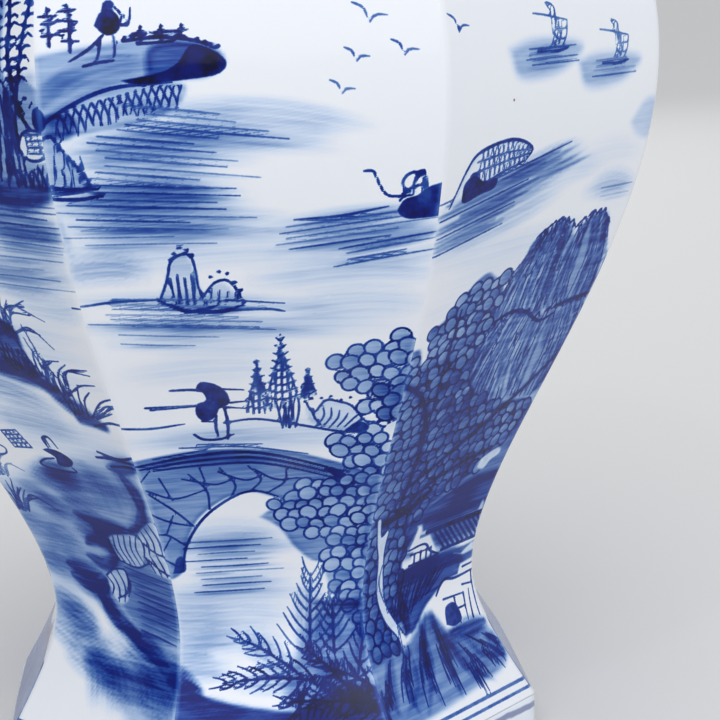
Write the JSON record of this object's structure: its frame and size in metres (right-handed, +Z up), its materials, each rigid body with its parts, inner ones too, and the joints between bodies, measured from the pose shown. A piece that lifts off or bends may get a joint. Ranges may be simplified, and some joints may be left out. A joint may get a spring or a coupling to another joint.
{
  "type": "ginger jar",
  "caption": "Octagonal covered porcelain jar with a waisted foot, swelling shoulders and a lift-off domed lid, painted with a blue river landscape.",
  "frame": {"origin": "on the jar's axis, at the height of the surface it stands on", "axes": "+Z up along the jar's axis, -Y through the middle of the front wall, +X to the right of the front wall"},
  "size_m": [0.1946, 0.1946, 0.3171],
  "materials": {
    "painted_glaze": "clear glossy glaze over cobalt blue painting on white porcelain",
    "foot_glaze": "glossy glaze wiped off to bare fired clay where the foot stands",
    "inner_glaze": "plain glaze, a little duller than outside"
  },
  "bodies": {
    "jar": {"wall_front": "painted_glaze", "wall_front_right": "painted_glaze", "wall_right": "painted_glaze", "wall_back_right": "painted_glaze", "wall_back": "painted_glaze", "wall_back_left": "painted_glaze", "wall_left": "painted_glaze", "wall_front_left": "painted_glaze", "foot_ring": "foot_glaze", "floor_slab": "inner_glaze", "neck_collar": "painted_glaze"},
    "lid": {"lid_dome": "painted_glaze", "lid_locating_ring": "inner_glaze", "lid_knob": "painted_glaze"}
  },
  "joints": [
    {"name": "lid_lift", "type": "slide", "parent": "jar", "child": "lid", "axis": [0, 0, 1], "range_m": [0, 0.12]}
  ]
}
